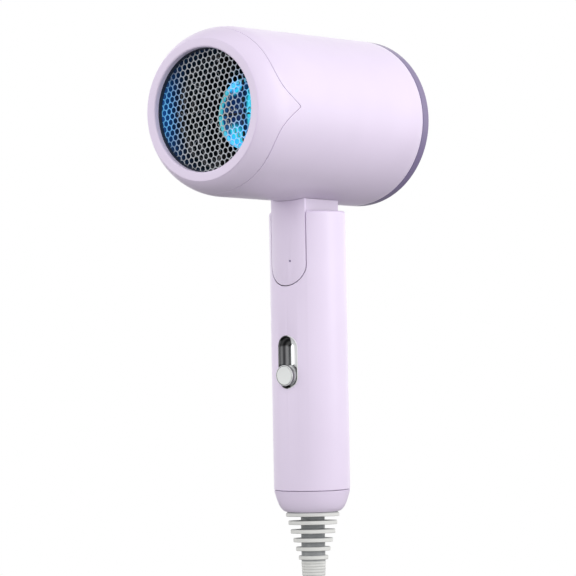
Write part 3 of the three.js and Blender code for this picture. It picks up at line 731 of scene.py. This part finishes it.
def addCell(name, pitch, bar, thick, perSide=2):
    # One cell of a perforated plate in the XY plane: a hexagon with a softened round hole, open at its rim.
    outer = [Vector((math.cos(a), math.sin(a), 0)) * pitch / math.sqrt(3)
             for a in (math.radians(60 * i + 30) for i in range(6))]
    rim = [outer[i].lerp(outer[(i + 1) % 6], k / perSide) for i in range(6) for k in range(perSide)]
    hole = [(p.normalized() * (pitch - bar) / 2) * 0.6 + p * ((pitch - bar) / pitch) * 0.4 for p in rim]
    soft, half = min(0.12, bar / 4), thick / 2
    wide = 1 + 2 * soft / pitch
    levels = ((rim, 1, half - soft * 0.4), (hole, wide, half), (hole, 1, half - soft),
              (hole, 1, soft - half), (hole, wide, -half), (rim, 1, soft * 0.4 - half))
    points, faces = joinRows([[(p.x * grow, p.y * grow, z) for p in ring] for ring, grow, z in levels], closed=False)
    return addObject(name, points, faces[:-2])


def honeycombTree():
    # Sets a cell on every point of a six-sided lattice inside a radius, and draws the rim in to a circle.
    tree, given = nodeTree("honeycomb", Cell="Object", Pitch="Float", Reach="Float", Rim="Float", Turn="Float",
                           Material="Material")
    count, pitch = 41, given["Pitch"]
    rowStep = times(tree, pitch, math.sqrt(3) / 2)
    grid = addNode(tree, "GeometryNodeMeshGrid", {
        "Vertices X": count, "Vertices Y": count, "Size X": times(tree, pitch, count - 1),
        "Size Y": times(tree, rowStep, count - 1)}).outputs["Mesh"]
    row = maths(tree, "ROUND", maths(tree, "DIVIDE", splitUp(tree, positionOf(tree))["Y"], rowStep))
    odd = maths(tree, "ABSOLUTE", maths(tree, "MODULO", row, 2))
    shift = vectorOf(tree, X=times(tree, odd, pitch, 0.5))
    lattice = onward(tree, "GeometryNodeSetPosition", grid, Offset=shift)
    outside = maths(tree, "GREATER_THAN", lengthOf(tree, positionOf(tree)), given["Reach"])
    kept = onward(tree, "GeometryNodeDeleteGeometry", lattice, Selection=outside)
    cell = addNode(tree, "GeometryNodeObjectInfo", {"Object": given["Cell"]}).outputs["Geometry"]
    cells = onward(tree, "GeometryNodeInstanceOnPoints", kept, Instance=cell)
    plate = onward(tree, "GeometryNodeRealizeInstances", cells)
    plate = onward(tree, "GeometryNodeMergeByDistance", plate, Distance=0.00001)
    plate = onward(tree, "GeometryNodeTransform", plate, Rotation=vectorOf(tree, Z=given["Turn"]))
    x, y, z = splitUp(tree, positionOf(tree))
    radius = maths(tree, "SQRT", maths(tree, "ADD", times(tree, x, x), times(tree, y, y)))
    keep = maths(tree, "DIVIDE", given["Rim"], maths(tree, "MAXIMUM", radius, 0.0001))
    keep = maths(tree, "MINIMUM", keep, 1.0)
    drawnIn = vectorOf(tree, X=times(tree, x, keep), Y=times(tree, y, keep), Z=z)
    return painted(tree, onward(tree, "GeometryNodeSetPosition", plate, Position=drawnIn), given["Material"])


honeycomb = honeycombTree()
grille = {"pitch": 2.75, "bar": 0.39, "thick": 0.4, "reach": 27.2, "rim": 27.5, "turn": 10, "behind": 5.2}
intake = {"pitch": 3.4, "bar": 1.2, "thick": 1.6, "reach": 29.6, "rim": 31.6, "turn": 0, "ahead": 1.5}


def makePlate(name, s, y, finish, body, slot, *replaced):
    # A plate across the barrel at a depth y, its top facing the outlet.
    cell = addCell(name + "_cell", s["pitch"], s["bar"], s["thick"])
    values = {"Cell": cell, "Pitch": s["pitch"] * mm, "Reach": s["reach"] * mm, "Rim": s["rim"] * mm,
              "Turn": math.radians(s["turn"])}
    place = Matrix.Translation(Vector((0, y, barrelZ)) * mm) @ Matrix.Rotation(math.radians(90), 4, "X")
    runTree(name, honeycomb, values, finish, body, slot, *replaced, sharp=30, place=place)
    bpy.data.objects.remove(cell)


makePlate("grille_honeycomb", grille, outletY + grille["behind"], "mesh", "head", "silver_mesh", "outlet_grille")
print("grille made")

# Heater and lamps behind the grille

heater = {"arm": 24, "inner": 17.5, "front": 12.5, "rear": 29.5, "bridge": 0.8, "thick": 0.8, "notch": 0.7,
          "pitch": 2.4, "spokes": 8, "spokeIn": 5.5, "spokeOut": 23.5, "wave": 0.55, "steps": 15, "wire": 0.2,
          "spokeDepth": 11.8}


def makeMica(name, node, level):
    # A board whose two arms are notched for the coils and joined by a slim strip at the rear.
    s, arm = heater, heater["arm"]
    front, rear, notch = outletY + s["front"], outletY + s["rear"], arm - s["notch"]
    outline = [(rear, arm)]
    for i in range(int((rear - front) / s["pitch"])):
        y = rear - (i + 0.5) * s["pitch"]
        outline += [(y + 0.5, arm), (y + 0.5, notch), (y - 0.5, notch), (y - 0.5, arm)]
    outline += [(front, arm), (front, s["inner"]), (rear - s["bridge"], s["inner"])]
    outline += [(y, -h) for y, h in reversed(outline)]
    rows = [[(h, y, x) if level else (x, y, h) for y, h in outline] for x in (-s["thick"] / 2, s["thick"] / 2)]
    addPiece(name, outwards(*joinRows(rows, closed=False)), "mica", "head", "mica", node, place=(0, 0, barrelZ))


def spokeTree():
    # A wavy wire drawn outwards from the axis, set round it in even steps.
    tree, given = nodeTree("spokes", Count="Int", Inner="Float", Outer="Float", Wave="Float", Wire="Float",
                           Material="Material")
    line = addNode(tree, "GeometryNodeMeshLine", {
        "Count": heater["steps"], "Start Location": vectorOf(tree, X=given["Inner"]),
        "Offset": vectorOf(tree, X=given["Outer"])}, mode="END_POINTS").outputs["Mesh"]
    order = addNode(tree, "GeometryNodeInputIndex").outputs[0]
    side = maths(tree, "SUBTRACT", times(tree, maths(tree, "MODULO", order, 2.0), 2.0), 1.0)
    shift = vectorOf(tree, Z=times(tree, side, given["Wave"]))
    curve = onward(tree, "GeometryNodeMeshToCurve", onward(tree, "GeometryNodeSetPosition", line, Offset=shift))
    ring = addNode(tree, "GeometryNodeCurvePrimitiveCircle", {"Resolution": 8, "Radius": given["Wire"]})
    wire = addNode(tree, "GeometryNodeCurveToMesh", {
        "Curve": curve, "Profile Curve": ring.outputs["Curve"], "Fill Caps": True}).outputs["Mesh"]
    hubs = addNode(tree, "GeometryNodeMeshLine", {"Count": given["Count"], "Offset": (0, 0, 0)}).outputs["Mesh"]
    turn = times(tree, order, maths(tree, "DIVIDE", 2 * math.pi, given["Count"]))
    placed = onward(tree, "GeometryNodeInstanceOnPoints", hubs, Instance=wire, Rotation=vectorOf(tree, Y=turn))
    return painted(tree, onward(tree, "GeometryNodeRealizeInstances", placed), given["Material"])


def makeSpokes():
    s = heater
    values = {"Count": s["spokes"], "Inner": s["spokeIn"] * mm, "Outer": s["spokeOut"] * mm,
              "Wave": s["wave"] * mm, "Wire": s["wire"] * mm}
    place = Matrix.Translation(Vector((0, outletY + s["spokeDepth"], barrelZ)) * mm)
    runTree("heater_spokes", spokeTree(), values, "wire", "head", "heater_wire", place=place)


def makeLightRing():
    low, high = corners("light_ring")
    outer, inner, back = high.x - 0.7, high.x - 2.1, low.y + 1.5
    profile = rounded([(inner, low.y), (inner, back), (outer, back), (outer, low.y)], 0.35)
    addPiece("light_guide", turned(profile, "y", 96), "lightRing", "head", "light_plastic", "light_ring",
             place=(0, 0, barrelZ))


makeMica("mica_former_upright", "mica_board_upright", False)
makeMica("mica_former_level", "mica_board_level", True)
makeSpokes()
makeLightRing()
print("heater made")

# Rear cover


cover = {"edge": 0.8, "spigot": 36, "wall": 34.4, "front": 31.6, "step": 41}


def makeRearCover():
    spigot, wall, front, step = (cover[k] for k in ("spigot", "wall", "front", "step"))
    rim, edge = sideRadius(coverY - outletY), cover["edge"]
    profile = [(spigot, front), (spigot, coverY), (rim - 0.2, coverY), (rim, coverY + 0.2)]
    profile += arc((rim - edge, rearY - edge), edge, 0, 90, 10)
    profile += [(33, rearY), (32.2, rearY - 0.1), (31.8, rearY - 0.6), (31.6, rearY - 1.2), (31.5, step),
                (wall, step), (wall, front)]
    addPiece("cover_rim", turned(profile, "y", 192), "mauve", "cover", "mauve_plastic", "rear_cover",
             place=(0, 0, barrelZ))
    makePlate("cover_holes", intake, rearY - intake["ahead"], "mauve", "cover", "mauve_plastic")


makeRearCover()
print("rear cover made")

# Grip

tongue = {"half": 9.5, "back": -13.6, "roundZ": pivot.z - 9, "slot": 9.95}
switch = {"half": 5.1, "long": 23.5, "z": -0.7, "wall": 0.35, "floor": -14, "back": -13.1, "slot": 1.75, "knob": 4.7,
          "front": -19.8}
neck = {"half": 9.3, "gap": 0.3, "clear": 0.12, "pinHole": 2.6, "coverPin": 0.55,
        "wireWay": ((-3.6, -6, 20), (3.6, 4, 68))}
bore = 15.1


def block(low, high):
    points = [(x, y, z) for x in (low[0], high[0]) for y in (low[1], high[1]) for z in (low[2], high[2])]
    faces = [(0, 1, 3, 2), (4, 6, 7, 5), (0, 4, 5, 1), (2, 3, 7, 6), (0, 2, 6, 4), (1, 5, 7, 3)]
    return outwards(points, faces)


def prismY(outline, low, high):
    rows = [[(x, y, z) for x, z in outline] for y in (low, high)]
    return outwards(*joinRows(rows, closed=False))


def aboutHinge(sections, sides):
    # A body from [x, radius] sections about the hinge's axis.
    rows = [[(x, pivot.y + u, pivot.z + v) for u, v in circle(radius, sides)] for x, radius in sections]
    return outwards(*joinRows(rows, closed=False))


def barrelCone(grow):
    rows = [[(u, y, barrelZ + v) for u, v in circle(sideRadius(y - outletY) + grow, 256)] for y in (-40, 40)]
    return outwards(*joinRows(rows, closed=False))


def rod(radius, low, high, axis, sides, x=0, z=0):
    points, faces = turned([(0, low), (radius, low), (radius, high), (0, high)], axis, sides)
    return [(px + x, py, pz + z) for px, py, pz in points], faces


def worked(base, steps, bevel=0):
    # The mesh of a body that is joined to, cut by or kept inside each tool in turn, and then softened.
    piece = addObject("base", *base)
    tools = [addObject("tool", *shape) for _, shape in steps]
    for (operation, _), tool in zip(steps, tools):
        cut = piece.modifiers.new("cut", "BOOLEAN")
        cut.operation, cut.solver, cut.object = operation, "EXACT", tool
    if bevel:
        soft = piece.modifiers.new("soft", "BEVEL")
        soft.width, soft.segments, soft.limit_method = bevel * mm, 3, "ANGLE"
        soft.angle_limit, soft.harden_normals = math.radians(40), False
    mesh = bpy.data.meshes.new_from_object(piece.evaluated_get(bpy.context.evaluated_depsgraph_get()))
    for item in (piece, *tools):
        bpy.data.objects.remove(item)
    return mesh


def roughed(base, steps):
    # The points and faces of a body after its steps, for use as a tool.
    mesh = worked(base, steps)
    points = [tuple(v.co / mm) for v in mesh.vertices]
    faces = [tuple(p.vertices) for p in mesh.polygons]
    bpy.data.meshes.remove(mesh)
    return points, faces


def carved(name, base, steps, bevel, finish, body, slot, *replaced):
    mesh = worked(base, steps, bevel)
    mesh.name = name
    return finished(linked(name, mesh), finish, body, slot, *replaced, sharp=32)


def tipSweep():
    # The body that the tongue's round tip sweeps about the hinge, for cutting the grip.
    sections = []
    for i in range(33):
        x = tongue["slot"] * math.cos(math.pi * i / 32)
        ahead = -math.sqrt(gripRadius ** 2 - min(abs(x), tongue["half"]) ** 2) - pivot.y
        below = tongue["roundZ"] - pivot.z - math.sqrt(max(0, tongue["slot"] ** 2 - x ** 2))
        sections.append((x, math.hypot(ahead, below)))
    return aboutHinge(sections, 96)


def pillLoop(grow, steps=16):
    straight = switch["long"] / 2 - switch["half"]
    half = switch["half"] + grow
    loop = []
    for sign in (1, -1):
        for i in range(steps + 1):
            a = math.pi * i / steps
            loop.append((sign * half * math.cos(a), switch["z"] + sign * (straight + half * math.sin(a))))
    return loop


def makeGripShell():
    profile = [(bore, gripFoot), (gripRadius - 0.22, gripFoot), (gripRadius, gripFoot + 0.22)]
    profile += [*arc((gripRadius - 1.3, gripTop - 1.3), 1.3, 0, 90, 6), (bore, gripTop)]
    steps = [
        ("DIFFERENCE", block((-tongue["slot"], -30, tongue["roundZ"]), (tongue["slot"], pivot.y, 90))),
        ("DIFFERENCE", roughed(tipSweep(), [("INTERSECT", block((-30, -30, 0), (30, pivot.y + 18.8, 90)))])),
        ("DIFFERENCE", prismY(pillLoop(switch["wall"] + 0.05), -30, 0)),
    ]
    casing = carved("grip_casing", turned(profile, "z", 192), steps, 0.18, "lavender", "handle", "lavender_plastic",
                    "handle_shell")
    for vertex in casing.data.vertices:
        if vertex.co.z < (gripFoot + 2) * mm:
            vertex.co.z += seamLift(vertex.co.x / mm, vertex.co.y / mm) * mm


def seamLift(x, y):
    # The cap's seam is cut a little aslant, like the sleeve below it: how far it lies above the middle.
    turn = math.radians(relief["towards"])
    return (x * math.sin(turn) - y * math.cos(turn) - gripRadius) * math.sin(math.radians(relief["seam"])) - 0.3


def makeTongue():
    s, steps = tongue, 40
    pin = middleOf("cover_pin")
    tip = [math.pi * i / steps for i in range(steps + 1)]
    outline = [(s["half"], 90), (-s["half"], 90)]
    outline += [(-s["half"] * math.cos(a), s["roundZ"] - s["half"] * math.sin(a)) for a in tip]
    carved("neck_tongue", prismY(outline, -20, s["back"]), [
        ("INTERSECT", rod(gripRadius, 20, 95, "z", 192)),
        ("DIFFERENCE", barrelCone(neck["clear"])),
        ("DIFFERENCE", rod(neck["coverPin"], -30, -6, "y", 32, pin.x, pin.z)),
    ], 0.25, "lavender", "head", "lavender_plastic", "neck_cover")


def makeKnuckle():
    half, front, reach = neck["half"], tongue["back"] + 0.2, bore - neck["gap"]
    across = [half * (1 - i / 8) for i in range(17)]
    sweep = aboutHinge([(x, math.sqrt(reach ** 2 - x ** 2) - pivot.y) for x in across], 96)
    back = roughed(block((-half, 0, pivot.z), (half, 20, 90)), [("INTERSECT", rod(reach, 20, 95, "z", 192))])
    # The neck block takes the darker neck finish: painted shade under the barrel.
    carved("neck_block", block((-half, front, pivot.z), (half, 0.1, 90)), [
        ("UNION", back),
        ("UNION", roughed(sweep, [("INTERSECT", block((-20, front, 0), (20, 30, 90)))])),
        ("DIFFERENCE", barrelCone(neck["clear"])),
        ("DIFFERENCE", block(*neck["wireWay"])),
        ("DIFFERENCE", aboutHinge([(-20, neck["pinHole"]), (20, neck["pinHole"])], 48)),
    ], 0.25, "neck", "head", "lavender_plastic", "neck_knuckle")


cap = {"hole": 6.8, "inside": [(14.8, -54.3), (13.4, -54.3), (13.4, -60.5)],
       "bowl": [(12.1, 0.4), (12.7, 0.5), (13.4, 0.9), (14.1, 1.6), (14.8, 2.5), (15.4, 3.7), (15.95, 5), (16.5, 6.6),
                (16.95, 8.2), (17.3, 9.5)]}


def makeEndCap():
    profile = [(gripRadius - 0.05, gripFoot - 0.5), (gripRadius - 0.25, gripFoot - 0.3), (14.8, gripFoot - 0.3),
               *cap["inside"], (cap["hole"], capFoot + 2), (cap["hole"], capFoot)]
    points, faces = turned(profile + [(r, capFoot + h) for r, h in cap["bowl"]], "z", 160)
    points = [(x, y, z + seamLift(x, y)) for x, y, z in points]
    addPiece("grip_cap", (points, faces), "lavender", "handle", "lavender_plastic", "handle_end_cap")


def makeBezel():
    # A thin polished trough: its rim follows the grip's surface, and its floor has a slot for the knob's stem.
    wall, half, back = switch["wall"], switch["half"], switch["back"]
    rows = [[(x, back, z) for x, z in pillLoop(wall)]]
    for grow, sink in ((wall, 0.12), (wall - 0.08, 0), (0.08, 0), (0, 0.1)):
        rows.append([(x, sink - math.sqrt((gripRadius + 0.05) ** 2 - x ** 2), z) for x, z in pillLoop(grow)])
    for i in range(1, 11):
        inset = (half - switch["slot"]) * (i / 10) ** 1.5
        sag = 1 - math.sqrt(1 - ((half - inset) / half) ** 2)
        rows.append([(x, switch["floor"] - 3.0 * sag, z) for x, z in pillLoop(-inset)])
    rows.append([(x, back, z) for x, z in pillLoop(switch["slot"] - half)])
    liner = addPiece("switch_liner", outwards(*joinRows(rows)), "reflectionPaintedChrome", "handle", "chrome", "switch_bezel")
    # Painted reflection: row by row, the left half of the trough is painted dark and the right half pale white.
    paintedLeftReflection = [0.9, 0.92, 0.9, 0.84, 0.8, 0.9, 0.95, 0.9, 0.88, 0.96, 0.99, 0.98, 0.9, 0.84, 0.86, 0.92]
    shadeRows(liner, [[dark if x < 0.1 else 0.0 for x, _ in pillLoop(0)] for dark in paintedLeftReflection])


def makeSlider():
    # The plate that the knob stands on, seen as a bright shutter through the slot.
    low, high = corners("switch_slider")
    outline = rounded([(5.2, low.z - 4.5), (5.2, high.z + 6.7), (-5.2, high.z + 6.7), (-5.2, low.z - 4.5)], 1.5, 5)
    addPiece("switch_shutter", prismY(outline, low.y - 0.25, high.y), "chrome", "switch", "dark_plastic",
             "switch_slider")


def makeKnob():
    place = (0, 0, middleOf("switch_knob").z)
    front, r, foot = switch["front"], switch["knob"], -14.65
    profile = [(0, -13), (1.5, -13), (1.5, foot + 0.25), (r - 0.25, foot + 0.25), (r, foot)]
    profile += [(r, foot + (front + 0.4 - foot) * i / 7) for i in range(1, 7)]
    profile += arc((r - 0.28, front + 0.38), 0.28, 0, -90, 5)
    profile += [(4.35, front + 0.1), (4.28, front + 0.2), (4.25, front + 1.1), (0, front + 1.1)]
    body = addPiece("knob_body", turned(profile, "y", 96), "reflectionPaintedChrome", "switch", "chrome", "switch_knob",
                    place=place)
    # Painted reflection: dark and pale bands painted row by row down the knob's side and round its front rim.
    side = [0.92, 0.88, 0.8, 0.5, 0.35, 0.55, 0.85]
    shadeRows(body, [[v] * 96 for v in (0.9, 0.9, 0.9, *side, 0.75, 0.5, 0.2, 0.1, 0.1, 0.2, 0.8, 0.9, 0.9)])
    dish = [(0, 0.12), (1.5, 0.11), (3, 0.07), (3.8, 0.02), (4.05, 0.02), (4.15, 0.12), (4.15, 0.8), (0, 0.8)]
    addPiece("knob_cap", turned([(r, front + h) for r, h in dish], "y", 96), "knobFace", "switch", "silver_paint",
             "knob_face", place=place)


def makeRelief():
    # Each point of the outline goes with how dark its row of points is painted: painted shade under the cap, on the
    # core between the fins, on the fins' upper faces and in the grooves.
    s, core, base, half = relief, relief["core"], relief["base"], relief["thick"] / 2
    top, sunk, end = capFoot - 1.5, capFoot - 0.15, relief["end"]
    rows = [(r, z, 0.9) for r, z in ((0, -62), (5, -62), (5, -63.9), (9, -63.9), (9, -65.9), (6.5, -65.9),
                                     (6.5, sunk), (11.7, sunk), (11.7, top))]
    rows += [(base - 0.25, top, 0.5), (base, top - 0.25, 0), (base, top - 1.45, 0), (base - 0.25, top - 1.7, 0),
             (core + 0.3, top - 1.7, 0.6), (core, top - 2, 1)]
    for i, r in enumerate(s["fins"]):
        z = s["first"] - s["pitch"] * i
        rows += [(core, z + half + 0.3, 1), (core + 0.3, z + half, 0.9), (r - 0.22, z + half, 0.6),
                 (r, z + half - 0.22, 0), (r, z - half + 0.22, 0), (r - 0.22, z - half, 0.1),
                 (core + 0.3, z - half, 0.7), (core, z - half - 0.3, 1)]
    top = s["first"] - s["pitch"] * len(s["fins"]) + 2.2
    step = (top - end) / (s["grooves"] + 0.4)
    for i in range(s["grooves"]):
        z, r = top - step * i, 5.6 - 0.07 * i
        rows += [(r - 0.12, z, 0.3), (r, z - 0.2, 0.05), (r, z - step + 0.42, 0.05), (r - 0.12, z - step + 0.24, 0.3)]
    rows += [(4.7, end + 0.4, 0.1), (4.4, end, 0.3), (0, end, 0.3)]
    sides = 96
    points, faces = turned([(r, z) for r, z, _ in rows], "z", sides)
    sleeve = addPiece("relief_sleeve", ([leaned(p) for p in points], faces), "relief", "handle", "grey_rubber",
                      "strain_relief")
    shadeRows(sleeve, [[dark] * sides for r, _, dark in rows if r > 0])


makeGripShell()
makeTongue()
makeKnuckle()
makeEndCap()
makeBezel()
makeSlider()
makeKnob()
makeRelief()
print("grip made")

# Finishes of the carried-over nodes

nodeLooks = {
    "duct": ["grille_ring", "heat_tube"],
    "motorNose": ["motor_nose"],
    # The thermostat takes the black finish so that it stays dark behind the grille: painted shade.
    "heatBlack": ["stator", "ion_generator", "hinge_ear_left", "hinge_ear_right",
                  "switch_body", "relay", "cord_clamp", "thermostat"],
    "steel": ["motor_can", "motor_shaft", "shroud_screw_1", "shroud_screw_2", "shroud_screw_3", "intake_mesh",
              "hinge_pin_left", "hinge_pin_right", "clamp_screw_1", "clamp_screw_2"],
    "shadeDarkenedWire": ["heater_coil_front", "heater_coil_rear", "thermal_fuse"],
    "mauve": ["cover_pin"],
    "white": ["impeller", "fan_shroud", "handle_chassis"],
    "lightBoard": ["light_board"],
    "board": ["circuit_board"],
    "sleeve": ["filter_capacitor"],
    "cordGrey": ["inner_lead"],
}
for finish, names in nodeLooks.items():
    for name in names:
        node = frame["nodes"][name]
        node.data.materials.clear()
        node.data.materials.append(look[finish])
print("frame painted")

# Studio

studio = {
    "floorDrop": 20, "reach": 1500, "floor": (0.8, 0.8, 0.8), "bounce": (0.3, 0.3, 0.3),
    "facing": (0.6, -0.8, 0), "front": 1.64, "side": 1.4, "below": 0.15, "above": 0.32,
    "lights": [
        ("key", (1.12, 0.42, 0.45), (0, 0, 0.04), (0.55, 1.3), 5.2),
        ("top", (-0.1, -0.5, 1.2), (0, 0, 0.1), (0.9, 0.6), 1),
    ],
}


def seenBy(tree, factor, first, second, result):
    mixed = addNode(tree, "ShaderNodeMixShader", {0: factor, 1: first.outputs[0], 2: second.outputs[0]})
    tree.links.new(mixed.outputs[0], result.inputs["Surface"])


def cameraRay(tree):
    return addNode(tree, "ShaderNodeLightPath").outputs["Is Camera Ray"]


def makeWorld(s):
    # Plain white where it is seen, and a soft studio for the light: dim behind the camera and below.
    world = bpy.data.worlds.new("world")
    bpy.context.scene.world = world
    world.use_nodes = True
    tree = world.node_tree
    tree.nodes.clear()
    direction = addNode(tree, "ShaderNodeTexCoord").outputs["Generated"]
    facing = addNode(tree, "ShaderNodeVectorMath", {0: direction, 1: s["facing"]}, operation="DOT_PRODUCT")
    z = splitUp(tree, direction)["Z"]
    around = eased(tree, facing.outputs["Value"], 0.2, 0.9, s["side"], s["front"])
    down = eased(tree, z, -0.4, 0.03, s["below"], 1)
    up = eased(tree, z, 0.2, 0.9, 1, s["above"])
    level = times(tree, around, down, up)
    soft, plain = (addNode(tree, "ShaderNodeBackground", {"Color": (1, 1, 1, 1), "Strength": strength})
                   for strength in (level, 1))
    seenBy(tree, cameraRay(tree), soft, plain, addNode(tree, "ShaderNodeOutputWorld"))


def areaLight(name, place, aim, size, power):
    data = bpy.data.lights.new(name, "AREA")
    data.shape, data.size, data.size_y, data.energy = "RECTANGLE", size[0], size[1], power
    light = linked(name, data)
    light.location = place
    light.rotation_euler = (Vector(aim) - Vector(place)).to_track_quat("-Z", "Y").to_euler()


def makeFloor(s):
    # A disc that turns plain white far out, where only the camera sees it.
    low = cadBox[0][2] / mm - s["floorDrop"]
    floor = addObject("floor", *turned([(0, low), (s["reach"], low), (s["reach"], low - 5), (0, low - 5)], "z", 96))
    material, tree, shader = newMaterial("floor")
    values = {"Vector": objectPlace(tree), "Scale": (1, 1, 0)}
    away = lengthOf(tree, addNode(tree, "ShaderNodeMapping", values).outputs["Vector"])
    edge = eased(tree, away, s["reach"] * 0.35 * mm, s["reach"] * 0.9 * mm)
    seen = addNode(tree, "ShaderNodeMix", {
        "Factor": cameraRay(tree), "A": (*s["bounce"], 1), "B": (*s["floor"], 1)}, data_type="RGBA")
    feed(tree, shader, {"Roughness": 0.9, "Base Color": seen.outputs["Result"]})
    seenBy(tree, times(tree, edge, cameraRay(tree)), shader, addNode(tree, "ShaderNodeEmission"),
           tree.nodes["Material Output"])
    floor.data.materials.append(material)


makeFloor(studio)
makeWorld(studio)
for light in studio["lights"]:
    areaLight(*light)
bpy.context.scene.view_settings.view_transform = "Standard"
print("studio made")
